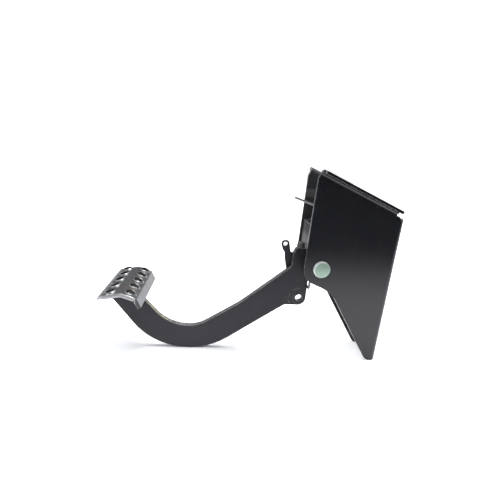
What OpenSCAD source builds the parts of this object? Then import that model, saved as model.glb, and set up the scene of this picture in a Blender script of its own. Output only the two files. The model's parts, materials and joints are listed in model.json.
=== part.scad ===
// Rear brake pedal: a folded steel bracket, a cranked flat arm on a pivot pin, a torsion
// return spring and a pressed foot pad. Millimetres. X runs from the pad to the bracket's
// back, Y across the vehicle, Z up. The part stands on its cheeks' toes and the arm's bend.

/* [Bracket] */
// Thickness of the folded bracket sheet
sheet_t = 3; // [2:0.5:4]
// Clear width between the two cheeks
cheek_gap = 34; // [32:1:44]
// Inner radius of every fold
fold_r = 3; // [2:0.5:5]
// Radius of the cheek's end around the pivot
cheek_end_r = 18.3; // [17:0.1:22]
// Lean of the cheeks' front edges towards the back at the top
front_lean = 1.2; // [0.2:0.1:1.2]
// Slope of the mounting flanges, falling to the back
flange_slope = 21.5; // [15:0.5:28]
// Height of the flanges' top face, square to it, above the pivot
flange_height = 88.2; // [80:0.2:100]
// Length of the flanges in front of the pivot, along the slope
flange_front = 48.7; // [44:0.1:54]
// Whole length of each flange
flange_length = 90.8; // [80:0.2:92]
// Width of each flange outside its cheek
flange_w = 9; // [8:0.5:14]
// Radius of the flanges' front corners
flange_corner_r = 5; // [2:0.5:7]
// Distance from the pivot to the outer face of the back web
back_reach = 79.8; // [72:0.2:90]
// Height of the pivot above the ground
pivot_height = 107.3; // [102:0.1:112]
// Distance from the pivot to the sharp corner of the toes
toe_reach = 67.7; // [62:0.1:69]
// Slope of the cheeks' lower front edge
cheek_rake = 57; // [52:1:62]
// Radius of the toes
toe_r = 9; // [4:1:12]
// Radius of the hollow between the cheek's end and its lower edge
hollow_r = 40; // [20:2:44]
// Diameter of the relief holes where two folds meet
relief_d = 6; // [5:0.5:8]

/* [Back web holes] */
// Diameter of the hole that the pushrod passes through
rod_hole_d = 22; // [16:1:25]
// Diameter of the two bolt holes of the master cylinder
bolt_hole_d = 8.5; // [6.5:0.5:10.5]
// Distance between the two bolt holes
bolt_pitch = 50; // [42:1:56]

/* [Pivot] */
// Diameter of the pin's shank
pin_d = 12; // [10:0.5:13]
// Diameter of the pin's head
pin_head_d = 17.5; // [16:0.5:20]
// Thickness of the pin's head
pin_head_t = 3.5; // [2.5:0.5:5]
// Outer diameter of the hub tube
hub_d = 22; // [21:0.5:23]
// Outer diameter of the bushes
bush_d = 15; // [14.5:0.5:17]
// Length of each bush inside the tube
bush_length = 12; // [8:1:14]
// Thickness of the bush's flange
bush_flange_t = 1.5; // [1:0.25:2]
// Thickness of the washer on the pin
washer_t = 1.6; // [1:0.2:2.5]
// Outer diameter of the washer on the pin
washer_d = 22; // [20:1:26]
// Thickness of the circlip
circlip_t = 1.2; // [1:0.1:1.6]
// Outer diameter of the circlip
circlip_d = 19; // [18:0.5:22]

/* [Arm] */
// Thickness of the flat steel arm
arm_t = 6; // [5:0.5:8]
// Depth of the arm's shank
arm_depth = 27.4; // [24:0.2:30]
// Depth of the arm where it meets the pad
arm_end_depth = 24.5; // [20:0.5:26]
// Slope of the shank's lower edge, falling from the pivot
arm_slope = 35.6; // [33:0.2:38]
// Slope of the shank's upper edge next to the bend
arm_top_slope = 33.5; // [31:0.5:36]
// Slope of the shank's upper edge next to the head
arm_neck_slope = 40.6; // [38:0.2:43]
// Length of the upper edge between the bend and the steeper part
arm_top_length = 53; // [45:1:60]
// Slope of the end that rises to the pad
arm_rise = 53; // [50:1:56]
// Distance in front of the pivot to the lowest point of the arm
arm_bend_reach = 134.5; // [130:0.5:138]
// Inner radius of the arm's bend
arm_bend_r = 47.3; // [42:0.1:52]
// Length of the straight end that rises to the pad
arm_end_length = 31; // [28:0.5:34]
// Radius of the arm around the pivot
arm_eye_r = 17; // [16:0.5:18]
// Distance in front of the pivot to the front of the arm's head
head_reach = 24; // [23:0.5:27]
// Height of the head's flat top above the pivot
head_height = 16.5; // [15:0.5:17]
// Distance in front of the pivot to the back edge of the pushrod lug
lug_back = 7; // [5:0.5:9]
// Depth of the pushrod lug below the pivot
lug_drop = 49.5; // [47:0.5:52]
// Distance in front of the pivot to the pushrod hole
rod_eye_reach = 14.8; // [13:0.1:17]
// Depth of the pushrod hole below the pivot
rod_eye_drop = 41.1; // [39:0.1:42]
// Diameter of the pushrod hole
rod_eye_d = 8.3; // [6:0.1:9]
// Diameter of the raised seat around the pushrod hole
rod_seat_d = 14; // [12:0.5:15]
// Height of the raised seat
rod_seat_t = 0.4; // [0.3:0.1:1]

/* [Pad] */
// Thickness of the pad's sheet
pad_t = 2; // [1.5:0.25:2.5]
// Width of the pad across the vehicle
pad_w = 77.4; // [77:0.2:90]
// Distance in front of the pivot to the pad's crown
pad_reach = 196.5; // [194:0.5:199]
// Depth of the pad's crown below the pivot
pad_drop = 28.2; // [26:0.2:31]
// Length of the pad in front of its crown
pad_front = 23.2; // [22:0.2:25]
// Slope of the pad in front of its crown
pad_front_slope = 11.8; // [8:0.2:15]
// Length of the pad behind its crown
pad_back = 15.4; // [15:0.2:18]
// Slope of the pad behind its crown
pad_back_slope = 19.4; // [15:0.2:23]
// Length of the flange folded down along the back of the pad
pad_flange = 10.3; // [6:0.1:13]
// Slope of that flange
pad_flange_slope = 65; // [55:1:80]
// Length of the lip turned down along the front of the pad
pad_lip = 3.8; // [3:0.2:5]
// Depth of the rim turned down along each side of the pad
pad_rim = 3.6; // [2.5:0.1:5]
// Width of that rim
pad_rim_w = 1.6; // [1.2:0.1:2]
// Diameter of the grip holes
grip_hole_d = 8.2; // [6:0.2:9]
// Outer diameter of the raised collar around each grip hole
grip_collar_d = 13; // [12.4:0.2:13.2]
// Height of the collars
grip_collar_h = 1.9; // [1:0.1:2.5]
// Distance between the rows of grip holes
grip_pitch = 16; // [14:0.5:16]
// Number of rows of grip holes
grip_rows = 5; // [3:1:5]

/* [Stop] */
// Diameter of the rubber stop button
button_d = 7.5; // [6:0.5:8]
// Height of the button above the arm's head
button_h = 6; // [4:0.5:8]
// Diameter of the button's stem in the arm
stem_d = 4; // [3:0.5:4.5]
// Thickness of the stop plate between the cheeks
stop_plate_t = 3; // [2:0.5:4]
// Height of the stop plate
stop_plate_h = 27; // [20:1:32]

/* [Switch tab] */
// Thickness of the tab
tab_t = 2; // [1.5:0.5:3]
// Diameter of the hole in the tab's eye
tab_hole_d = 4.3; // [3:0.1:5]
// Outer diameter of the tab's eye
tab_eye_d = 9; // [7.6:0.2:10]
// Depth of the tab's foot below the eye
tab_drop = 30; // [28:0.5:32]
// Length of the foot behind the eye
tab_foot = 17.5; // [15:0.5:19]
// Depth of the notch in the tab's front edge below the eye
tab_notch = 9.4; // [8:0.2:11]

/* [Return spring] */
// Diameter of the spring wire
wire_d = 2.4; // [2:0.2:2.6]
// Number of whole coils
coils = 3; // [2:1:3]
// Height above the pivot where the upper leg turns across
leg_height = 64.3; // [55:0.1:72]
// Distance from the middle plane to the tip of the upper leg
leg_tip = 38; // [30:1:38]

/* [Welds] */
// Leg of the fillet welds around the hub
hub_weld = 2.5; // [1.5:0.5:3]
// Leg of the other fillet welds
small_weld = 2.5; // [1.5:0.5:3]

/* [Hidden] */
$fn = 64;
eps = 0.01;
running_gap = 0.05;
seat_gap = 0.02;
play = 0.1;
arc_step = 6;

// The bracket's sizes
bracket_w = cheek_gap + 2 * sheet_t;
fold_out_r = fold_r + sheet_t;
flat_top = flange_height - fold_out_r;
flange_edge = bracket_w / 2 + flange_w;
// The front edge runs from the end line of the flange down to the line under the cheek's end
front_top_z = (flange_front - cheek_end_r * cos(flange_slope) / cos(front_lean))
            / (sin(flange_slope) - cos(flange_slope) * tan(front_lean));
front_low_z = (cheek_end_r * tan(flange_slope) / cos(front_lean) - cheek_end_r / cos(flange_slope))
            / (1 + tan(flange_slope) * tan(front_lean));
// Where the line under the cheek's end meets the raked edge
hollow_x = (toe_reach * tan(cheek_rake) - pivot_height + cheek_end_r / cos(flange_slope))
         / (tan(cheek_rake) - tan(flange_slope));
hollow_z = -cheek_end_r / cos(flange_slope) - hollow_x * tan(flange_slope);

// The pivot's sizes
bore_d = pin_d + 2 * running_gap;
hub_length = cheek_gap - 2 * (bush_flange_t + play);
bush_flange_d = hub_d - 1;
washer_y = bracket_w / 2;
groove_y = washer_y + washer_t + 2 * seat_gap;
groove_w = circlip_t + 2 * seat_gap;
groove_d = pin_d - 2.4;
pin_end = groove_y + groove_w + 2.4;
pin_chamfer = 1;

// The arm's sizes
bend_centre = [-arm_bend_reach, arm_bend_r + arm_depth - pivot_height];
bend_out_r = arm_bend_r + arm_depth;
end_run = [-cos(arm_rise), sin(arm_rise)];
end_square = [sin(arm_rise), cos(arm_rise)];
end_low = bend_centre - end_square * bend_out_r + end_run * arm_end_length;
shank_square = [-sin(arm_slope), cos(arm_slope)];
shank_low = bend_centre - shank_square * bend_out_r;
shank_start = bend_centre + [arm_bend_r * 0.21, -arm_bend_r];
shank_high = shank_start + arm_top_length * [cos(arm_top_slope), sin(arm_top_slope)];
lug_corner_r = 8.5;
lug_front = shank_low.x + (-lug_drop - shank_low.y) / tan(arm_slope);
neck_x = -head_reach - 3.2;
neck_z = shank_high.y + (neck_x - shank_high.x) * tan(arm_neck_slope);
shoulder_z = head_height - 7.1;
ring_groove_d = 24;
ring_groove_w = 1.2;

// The pad's sizes
pad_crown = [-pad_reach, -pad_drop];
pad_front_edge = pad_crown - pad_front * [cos(pad_front_slope), sin(pad_front_slope)];
pad_back_edge = pad_crown + pad_back * [cos(pad_back_slope), -sin(pad_back_slope)];
pad_flange_end = pad_back_edge + pad_flange * [cos(pad_flange_slope), -sin(pad_flange_slope)];
lip_slope = 68;
pad_lip_end = pad_front_edge + pad_lip * [cos(lip_slope), -sin(lip_slope)];
crown_r = 8;
pad_fold_r = pad_t + 0.8;
lip_r = pad_t + 0.5;
pad_corner_r = 2;
grip_front = pad_front / 2 - 0.3;
grip_back = pad_back / 2 + 0.6;
grip_wall = 0.8;
nose_x = pad_front_edge.x + pad_t;

// The stop's sizes
button_x = -head_reach + button_d / 2 + 0.6;
button_top = head_height + button_h;
button_round = 1.5;
stem_depth = 6;
stop_x = button_x + button_d / 2 + running_gap;
stop_low = arm_eye_r + 0.6;
stop_leaf = 14;
stop_back = stop_x + stop_leaf;

// The switch tab's sizes
tab_eye = [-head_reach - 11.3, head_height + 2.2];
tab_y = arm_t / 2;
tab_corner_r = 3;

// The return spring's sizes
coil_r = hub_d / 2 + 0.7 + wire_d / 2;
coil_pitch = wire_d + 0.25;
coil_last_angle = 240;
coil_turns = coils + (coil_last_angle - 180) / 360;
coil_last_y = -arm_t / 2 - hub_weld - 0.2 - wire_d / 2;
coil_first_y = coil_last_y - coil_turns * coil_pitch;
hook_x = -lug_back + wire_d / 2 + running_gap;
hook_z = -28.2;
hook_y = coil_last_y + 0.9;
leg_x = -coil_r - 0.4;
cross_x = front_x(leg_height) - wire_d / 2 - 0.5;
tip_x = leg_x + (cross_x - leg_x) * (leg_tip - coil_first_y) / (cheek_gap / 2 - coil_first_y);
stop_edge = coil_first_y + wire_d / 2 + 0.7;
wire_sides = 10;

// The box that the part stands in, and the pivot's place in it
left_end = min([for (p = pad_path()) p.x]);
pivot_x = -(left_end + back_reach) / 2;

// A vector of length one
function unit(v) = v / norm(v);

// The points of an arc of radius r that rounds the corner b between a and c
function fillet(a, b, c, r) =
    let (u = unit(a - b), w = unit(c - b), half = acos(u * w) / 2)
    let (reach = min(r / tan(half), norm(a - b), norm(c - b)), q = reach * tan(half))
    let (m = b + unit(u + w) * q / sin(half), e = (b + u * reach - m) / q)
    let (g = (b + w * reach - m) / q, k = unit(g - e * (g * e)))
    let (turn = 180 - 2 * half, steps = max(2, ceil(turn / arc_step)))
    [for (s = [0:steps]) m + q * (e * cos(turn * s / steps) + k * sin(turn * s / steps))];

// The place of the cheeks' front edge at a height z
function front_x(z) = (z * sin(front_lean) - cheek_end_r) / cos(front_lean);

// An open path with its inner corners rounded; radii holds one radius for each point
function rounded_path(p, radii) =
    [for (i = [0:len(p) - 1])
        each i == 0 || i == len(p) - 1 || radii[i] == 0 ? [p[i]]
            : fillet(p[i - 1], p[i], p[i + 1], radii[i])];

// A closed outline with its corners rounded
function rounded_outline(p, radii) =
    let (n = len(p))
    [for (i = [0:n - 1])
        each radii[i] == 0 ? [p[i]] : fillet(p[(i + n - 1) % n], p[i], p[(i + 1) % n], radii[i])];

// The points of an arc about a centre
function arc(centre, r, from, to) =
    let (steps = ceil(abs(to - from) / arc_step))
    [for (s = [0:steps]) centre + r * [cos(from + (to - from) * s / steps),
                                       sin(from + (to - from) * s / steps)]];

// The right-hand normal of the path at point i, long enough to keep the sheet's thickness
function mitre(p, i) =
    let (u = unit(p[max(i, 1)] - p[max(i, 1) - 1]))
    let (w = unit(p[min(i + 1, len(p) - 1)] - p[min(i, len(p) - 2)]))
    let (m = unit([u.y + w.y, -u.x - w.x]))
    m / (m * [u.y, -u.x]);

function beside(p, t) = [for (i = [0:len(p) - 1]) p[i] + t * mitre(p, i)];
function reversed(p) = [for (i = [len(p) - 1:-1:0]) p[i]];

// A sheet of thickness t on the right-hand side of a path
module sheet_section(p, t) {
    polygon(concat(p, reversed(beside(p, t))));
}

// Puts what is drawn about the pivot at its place in the part's frame
module at_pivot() {
    translate([pivot_x, 0, pivot_height]) children();
}

// An outline drawn in X and Z, from y = low to y = high
module side_plate(low, high) {
    translate([0, high, 0]) rotate([90, 0, 0]) linear_extrude(high - low) children();
}

// A cylinder along Y from y = low to y = high
module cross_rod(d, low, high) {
    translate([0, low, 0]) rotate([-90, 0, 0]) cylinder(d = d, h = high - low);
}

// A turned shape: its outline holds radius and y
module turned() {
    rotate([-90, 0, 0]) rotate_extrude() children();
}

// The section of a fillet weld with one leg along x and one down
module weld_section(leg) {
    polygon([[0, 0], [leg, 0], [0.6 * leg, -0.6 * leg], [0, -leg]]);
}

// A straight fillet weld along X with one leg down and one towards +Y
module weld_bar(length, leg) {
    translate([-length / 2, 0, 0]) rotate([90, 0, 90]) linear_extrude(length) weld_section(leg);
}

// The side view of a cheek, from the toes to where the flange's fold starts
module cheek_outline() {
    back_top = (flat_top - back_reach * sin(flange_slope)) / cos(flange_slope);
    front_top = [flat_top * sin(flange_slope) - flange_front * cos(flange_slope),
                 flat_top * cos(flange_slope) + flange_front * sin(flange_slope)];
    polygon(rounded_outline(
        [front_top, [front_x(front_top_z), front_top_z], [front_x(front_low_z), front_low_z],
         [hollow_x, hollow_z], [toe_reach, -pivot_height], [back_reach, -pivot_height],
         [back_reach, back_top]],
        [0, 0, cheek_end_r, hollow_r, toe_r, 0, 0]));
}

// The channel seen from above: two cheeks and the back web, in one folded sheet
module channel_outline() {
    start = -2 * cheek_end_r;
    sheet_section(rounded_path(
        [[start, bracket_w / 2], [back_reach, bracket_w / 2],
         [back_reach, -bracket_w / 2], [start, -bracket_w / 2]],
        [0, fold_out_r, fold_out_r, 0]), sheet_t);
}

// The flange of the cheek at +Y with its fold
module flange() {
    rotate([0, flange_slope, 0]) intersection() {
        translate([-flange_front, 0, 0]) rotate([90, 0, 90]) linear_extrude(flange_length)
            sheet_section(rounded_path(
                [[cheek_gap / 2, flat_top - sheet_t], [cheek_gap / 2, flange_height],
                 [flange_edge, flange_height]], [0, fold_out_r, 0]), sheet_t);
        linear_extrude(2 * flange_height) polygon(rounded_outline(
            [[-flange_front, 0], [-flange_front, flange_edge],
             [flange_length - flange_front, flange_edge], [flange_length - flange_front, 0]],
            [0, flange_corner_r, 0, 0]));
    }
}

module both_sides() {
    children();
    mirror([0, 1, 0]) children();
}

module bracket() {
    relief_x = back_reach - sheet_t;
    relief_z = (flat_top - relief_x * sin(flange_slope)) / cos(flange_slope) + 1;
    color("#2a2a2d") at_pivot() difference() {
        union() {
            intersection() {
                translate([0, 0, -pivot_height - 1])
                    linear_extrude(2 * pivot_height + 2) channel_outline();
                side_plate(-bracket_w, bracket_w) cheek_outline();
            }
            both_sides() flange();
        }
        cross_rod(pin_d + 2 * running_gap, -bracket_w, bracket_w);
        both_sides() translate([relief_x, 0, relief_z])
            cross_rod(relief_d, cheek_gap / 2 - fold_r, bracket_w / 2 + 1);
        translate([back_reach - 2 * sheet_t, 0, -rod_eye_drop]) rotate([0, 90, 0]) {
            cylinder(d = rod_hole_d, h = 3 * sheet_t);
            for (side = [-1, 1]) translate([side * bolt_pitch / 2, 0, 0])
                cylinder(d = bolt_hole_d, h = 3 * sheet_t);
        }
    }
}

// An angle on the far cheek's inner face: its front leaf crosses the gap above the arm's head
// and holds the stop button, and ends short of the spring's upper leg
module stop_plate() {
    color("#303033") at_pivot() translate([0, 0, stop_low]) linear_extrude(stop_plate_h)
        sheet_section(rounded_path(
            [[stop_x, stop_edge], [stop_x, cheek_gap / 2], [stop_back, cheek_gap / 2]],
            [0, stop_plate_t + fold_r / 2, 0]), stop_plate_t);
}

module stop_welds() {
    color("#38383b") at_pivot() {
        translate([stop_back, cheek_gap / 2, stop_low + 2])
            linear_extrude(stop_plate_h - 4) weld_section(small_weld);
        translate([stop_back - stop_leaf / 4, cheek_gap / 2, stop_low + stop_plate_h])
            rotate([180, 0, 0]) weld_bar(stop_leaf / 2, small_weld);
    }
}

module pivot_pin() {
    color("#b9c8b9") at_pivot() turned() polygon([
        [0, -bracket_w / 2 - pin_head_t],
        [pin_head_d / 2 - pin_chamfer, -bracket_w / 2 - pin_head_t],
        [pin_head_d / 2 - pin_chamfer / 4, -bracket_w / 2 - pin_head_t + pin_chamfer / 2],
        [pin_head_d / 2, -bracket_w / 2 - pin_head_t + pin_chamfer],
        [pin_head_d / 2, -bracket_w / 2],
        [pin_d / 2, -bracket_w / 2],
        [pin_d / 2, groove_y],
        [groove_d / 2, groove_y],
        [groove_d / 2, groove_y + groove_w],
        [pin_d / 2, groove_y + groove_w],
        [pin_d / 2, pin_end - pin_chamfer],
        [pin_d / 2 - pin_chamfer, pin_end],
        [0, pin_end]]);
}

module pin_washer() {
    color("#9a9a98") at_pivot() difference() {
        cross_rod(washer_d, washer_y, washer_y + washer_t);
        cross_rod(pin_d + 2 * running_gap, washer_y - 1, washer_y + washer_t + 1);
    }
}

// An E-shaped retaining clip: three lobes bear on the groove, open downwards
module pin_circlip() {
    lobe_d = groove_d + 2 * seat_gap;
    relief_r = circlip_d / 2 - (circlip_d - pin_d) / 4;
    color("#3a3a3c") at_pivot() side_plate(groove_y + seat_gap, groove_y + seat_gap + circlip_t)
        difference() {
            circle(d = circlip_d);
            circle(d = lobe_d);
            translate([-lobe_d / 2 * 0.86, -circlip_d]) square([lobe_d * 0.86, circlip_d]);
            for (side = [-1, 1]) rotate(side * 62) translate([0, groove_d / 2 + 0.6])
                circle(d = 4.2);
            for (side = [-1, 1]) rotate(180 + side * 62) translate([0, groove_d / 2 + 0.6])
                circle(d = 2.6);
        }
}

module hub_tube() {
    color("#4a4a4e") at_pivot() difference() {
        cross_rod(hub_d, -hub_length / 2, hub_length / 2);
        cross_rod(bush_d, -hub_length, hub_length);
    }
}

// The flanged bush at the +Y end of the hub
module bush() {
    turned() polygon([
        [bore_d / 2, hub_length / 2 - bush_length],
        [bush_d / 2 - seat_gap, hub_length / 2 - bush_length],
        [bush_d / 2 - seat_gap, hub_length / 2],
        [bush_flange_d / 2, hub_length / 2],
        [bush_flange_d / 2, hub_length / 2 + bush_flange_t],
        [bore_d / 2, hub_length / 2 + bush_flange_t]]);
}

module bush_near() {
    color("#b08d57") at_pivot() mirror([0, 1, 0]) bush();
}

module bush_far() {
    color("#b08d57") at_pivot() bush();
}

// The side view of the arm: head, lug, shank, bend and the end that rises to the pad
module arm_outline() {
    head = rounded_outline(
        [[-head_reach, head_height], [0, head_height], [0, -arm_eye_r / 2],
         [-lug_back, -arm_eye_r / 2], [-lug_back, -lug_drop], [lug_front, -lug_drop],
         shank_low, [bend_centre.x, -pivot_height], bend_centre - [0, arm_bend_r],
         shank_start, shank_high, [neck_x, neck_z], [neck_x, shoulder_z]],
        [1.5, 0, 0, 0, lug_corner_r, 6, 0, 0, 0, 0.7 * arm_bend_r, 3 * arm_bend_r, 5, 8]);
    low_end = -90 - arm_rise;
    difference() {
        union() {
            polygon(head);
            circle(r = arm_eye_r);
            polygon(concat(
                arc(bend_centre, bend_out_r, arm_slope - 90, low_end),
                [end_low, [nose_x, end_low.y + 4], [nose_x, -pad_drop],
                 end_low + end_square * arm_end_depth + end_run * 2 * pad_t],
                [end_low + end_square * arm_end_depth],
                arc(bend_centre, arm_bend_r, low_end, -90)));
        }
        polygon(concat(beside(pad_path(), pad_t),
            [[pad_flange_end.x, 0], [pad_front_edge.x - pad_lip, 0],
             [pad_front_edge.x - pad_lip, pad_lip_end.y]]));
    }
}

module arm() {
    color("#3d3d40") at_pivot() difference() {
        union() {
            side_plate(-arm_t / 2, arm_t / 2) arm_outline();
            translate([-rod_eye_reach, 0, -rod_eye_drop])
                cross_rod(rod_seat_d, -arm_t / 2 - rod_seat_t, arm_t / 2 + rod_seat_t);
        }
        cross_rod(hub_d + 2 * seat_gap, -arm_t, arm_t);
        translate([-rod_eye_reach, 0, -rod_eye_drop]) {
            cross_rod(rod_eye_d, -arm_t, arm_t);
            intersection() {
                turned() polygon([
                    [ring_groove_d / 2 - ring_groove_w, -arm_t / 2 - eps],
                    [ring_groove_d / 2, -arm_t / 2 - eps],
                    [ring_groove_d / 2 - ring_groove_w / 2, -arm_t / 2 + rod_seat_t]]);
                translate([-ring_groove_d, -arm_t, -ring_groove_d / 4])
                    cube([ring_groove_d, 2 * arm_t, ring_groove_d]);
            }
        }
        translate([button_x, 0, head_height - stem_depth])
            cylinder(d = stem_d + 2 * seat_gap, h = 2 * stem_depth);
    }
}

// The fillet weld around the hub on the arm's +Y face
module hub_weld() {
    turned() polygon([
        [hub_d / 2, arm_t / 2], [hub_d / 2 + hub_weld, arm_t / 2],
        [hub_d / 2 + 0.6 * hub_weld, arm_t / 2 + 0.6 * hub_weld],
        [hub_d / 2, arm_t / 2 + hub_weld]]);
}

module hub_weld_near() {
    color("#38383b") at_pivot() mirror([0, 1, 0]) hub_weld();
}

module hub_weld_far() {
    color("#38383b") at_pivot() hub_weld();
}

// The top of the pad seen from the side, from its front lip to its back flange
function pad_path() = rounded_path(pad_corners(), [0, lip_r, crown_r, pad_fold_r, 0]);
function pad_corners() = [pad_lip_end, pad_front_edge, pad_crown, pad_back_edge, pad_flange_end];

// Puts a child on the pad's top face, a distance from the crown, square to the face
module on_pad(along, slope) {
    translate([pad_crown.x, 0, pad_crown.y]) rotate([0, slope, 0]) translate([along, 0, 0])
        children();
}

module each_grip() {
    for (row = [0:grip_rows - 1]) translate([0, (row - (grip_rows - 1) / 2) * grip_pitch, 0]) {
        on_pad(-grip_front, -pad_front_slope) children();
        on_pad(grip_back, pad_back_slope) children();
    }
}

// The raised collar that is pressed up around a grip hole
module grip_collar() {
    hole_r = grip_hole_d / 2;
    rim_r = grip_collar_d / 2;
    rotate_extrude($fn = 48) polygon([
        [rim_r, -0.7 * pad_t], [rim_r, -0.15 * pad_t], [rim_r - 0.9, 0.35 * grip_collar_h],
        [hole_r + grip_wall, grip_collar_h - 0.2], [hole_r + 0.6 * grip_wall, grip_collar_h],
        [hole_r, grip_collar_h - 0.3], [hole_r, 0.2 * grip_collar_h],
        [hole_r + grip_wall, -pad_t / 2], [rim_r - 1, -pad_t + 0.02]]);
}

// The rim along each side of the pad, seen from the side
module pad_rim_section() {
    intersection() {
        polygon(pad_path());
        sheet_section(pad_corners(), pad_rim);
    }
}

module pad() {
    rim_y = pad_w / 2 - pad_rim_w;
    color("#9a9a98") at_pivot() {
        difference() {
            intersection() {
                union() {
                    side_plate(-pad_w / 2, pad_w / 2) sheet_section(pad_path(), pad_t);
                    both_sides() side_plate(rim_y, pad_w / 2) pad_rim_section();
                }
                translate([0, 0, -pivot_height]) linear_extrude(pivot_height)
                    polygon(rounded_outline(
                        [[left_end, -pad_w / 2], [left_end, pad_w / 2],
                         [0, pad_w / 2], [0, -pad_w / 2]],
                        [pad_corner_r, pad_corner_r, 0, 0]));
            }
            intersection() {
                each_grip() translate([0, 0, -2 * pad_t])
                    cylinder(r = grip_collar_d / 2 - 0.5, h = 4 * pad_t);
                translate([left_end, -rim_y, -pivot_height]) cube([-left_end, 2 * rim_y, pivot_height]);
            }
        }
        each_grip() grip_collar();
    }
}

// The weld under the front face of the pad on the arm's +Y side
module pad_weld() {
    weld_start = pad_front + pad_front_edge.x - nose_x - 2;
    weld_length = 11;
    on_pad(-weld_start + weld_length / 2, -pad_front_slope)
        translate([0, arm_t / 2, -pad_t]) weld_bar(weld_length, small_weld);
}

module pad_weld_near() {
    color("#5a5a5c") at_pivot() mirror([0, 1, 0]) pad_weld();
}

module pad_weld_far() {
    color("#5a5a5c") at_pivot() pad_weld();
}

module stop_button() {
    color("#1d1d1e") at_pivot() translate([button_x, 0, 0]) rotate_extrude() polygon(concat(
        [[0, head_height - stem_depth + 0.3], [stem_d / 2, head_height - stem_depth + 0.3],
         [stem_d / 2, head_height], [button_d / 2, head_height]],
        arc([button_d / 2 - button_round, button_top - button_round], button_round, 0, 90),
        [[0, button_top]]));
}

// The tab is welded on the arm's far side and carries the switch spring in its eye
module switch_tab() {
    color("#3d3d40") at_pivot() side_plate(tab_y, tab_y + tab_t) difference() {
        union() {
            translate(tab_eye) circle(d = tab_eye_d);
            translate(tab_eye) polygon(rounded_outline(
                [[-tab_eye_d / 2, 0], [-0.28 * tab_notch, -0.62 * tab_notch], [0, -tab_notch],
                 [tab_notch / 12, -5 / 3 * tab_notch], [tab_foot / 4, -tab_drop],
                 [tab_foot, -tab_drop], [tab_foot, -1.2 * tab_notch],
                 [0.7 * tab_notch, -0.92 * tab_notch], [tab_eye_d / 2, 0]],
                tab_corner_r * [0, 1, 0.7, 0.7, 1, 1, 1, 0.7, 0]));
        }
        translate(tab_eye) circle(d = tab_hole_d);
    }
}

// The weld along the tab's lower edge, on the arm's far face
module tab_weld() {
    width = 0.6 * tab_foot;
    color("#38383b") at_pivot()
        translate([tab_eye.x + tab_foot - width, tab_y, tab_eye.y - tab_drop])
            weld_bar(width, tab_t * 0.8);
}

// The path of the spring's wire, from the tip of the upper leg to the hook on the arm
function wire_path() =
    let (steps = round(coil_turns * 20))
    let (upper = rounded_path(
        [[tip_x, leg_tip, leg_height], [leg_x, coil_first_y, leg_height],
         [-coil_r, coil_first_y, 0]], [0, 4, 0]))
    let (coil = [for (s = [1:steps])
        let (a = 180 + s * coil_turns * 360 / steps)
        [coil_r * cos(a), coil_first_y + s * (coil_last_y - coil_first_y) / steps,
         coil_r * sin(a)]])
    let (last = coil[len(coil) - 1])
    let (lower = rounded_path(
        [last, last + [1.6, 0, -1.1], [hook_x, hook_y, -arm_eye_r - 3],
         [hook_x, hook_y, hook_z], [hook_x, arm_t / 2 + 1, hook_z]],
        [0, 1.8, 6, 1.8, 0]))
    concat(upper, coil, [for (i = [1:len(lower) - 1]) lower[i]]);

function heading(p, i) = unit(p[min(i + 1, len(p) - 1)] - p[max(i - 1, 0)]);

// A vector square to the path at each point, carried along without twist
function carried(p, i, n) =
    let (t = heading(p, i), m = unit(n - t * (n * t)))
    i == len(p) - 1 ? [m] : concat([m], carried(p, i + 1, m));

module return_spring() {
    path = wire_path();
    square_to = carried(path, 0, [0, 0, 1]);
    n = wire_sides;
    last = (len(path) - 1) * n;
    points = [for (i = [0:len(path) - 1], s = [0:n - 1])
        let (a = 360 * s / n, t = heading(path, i), m = square_to[i])
        path[i] + wire_d / 2 * (m * cos(a) + cross(t, m) * sin(a))];
    walls = [for (i = [0:len(path) - 2], s = [0:n - 1])
        [i * n + s, (i + 1) * n + s, (i + 1) * n + (s + 1) % n, i * n + (s + 1) % n]];
    ends = [[for (s = [0:n - 1]) s], [for (s = [n - 1:-1:0]) last + s]];
    color("#b8b8b4") at_pivot() polyhedron(points, concat(walls, ends));
}

bracket();
stop_plate();
stop_welds();
pivot_pin();
pin_washer();
pin_circlip();
hub_tube();
bush_near();
bush_far();
arm();
hub_weld_near();
hub_weld_far();
pad();
pad_weld_near();
pad_weld_far();
stop_button();
switch_tab();
tab_weld();
return_spring();
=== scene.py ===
import json
import math

import bmesh
import bpy
from bpy.props import FloatProperty, FloatVectorProperty, IntProperty, PointerProperty
from mathutils import Matrix, Vector


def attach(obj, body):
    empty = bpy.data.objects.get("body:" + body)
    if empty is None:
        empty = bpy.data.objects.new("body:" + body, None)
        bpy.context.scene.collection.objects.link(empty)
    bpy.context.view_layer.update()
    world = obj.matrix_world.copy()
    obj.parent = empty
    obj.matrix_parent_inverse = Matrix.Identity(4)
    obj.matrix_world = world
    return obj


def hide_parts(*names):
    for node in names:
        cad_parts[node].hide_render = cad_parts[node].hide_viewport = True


bl_info = {
    "name": "Rear Brake Pedal",
    "version": (1, 0, 0),
    "blender": (4, 5, 0),
    "location": "3D View > Sidebar > Brake Pedal",
    "description": "Builds the finished surfaces of a rear brake pedal and its bracket",
    "category": "Object",
}

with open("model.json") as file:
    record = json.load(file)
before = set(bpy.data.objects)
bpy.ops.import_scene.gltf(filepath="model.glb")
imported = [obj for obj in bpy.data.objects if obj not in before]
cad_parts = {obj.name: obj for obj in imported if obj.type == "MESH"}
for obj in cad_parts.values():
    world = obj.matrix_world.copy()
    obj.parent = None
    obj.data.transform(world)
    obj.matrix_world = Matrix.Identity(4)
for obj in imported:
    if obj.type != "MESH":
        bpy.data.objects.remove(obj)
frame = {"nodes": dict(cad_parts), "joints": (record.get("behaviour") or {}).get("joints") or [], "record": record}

MM = 0.001
PIVOT = Vector(frame["joints"][0]["pos_m"])
BEND_X = PIVOT.x - 0.1355
EYE = PIVOT + Vector((-0.0148, 0.0, -0.0411))


# Node trees


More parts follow.
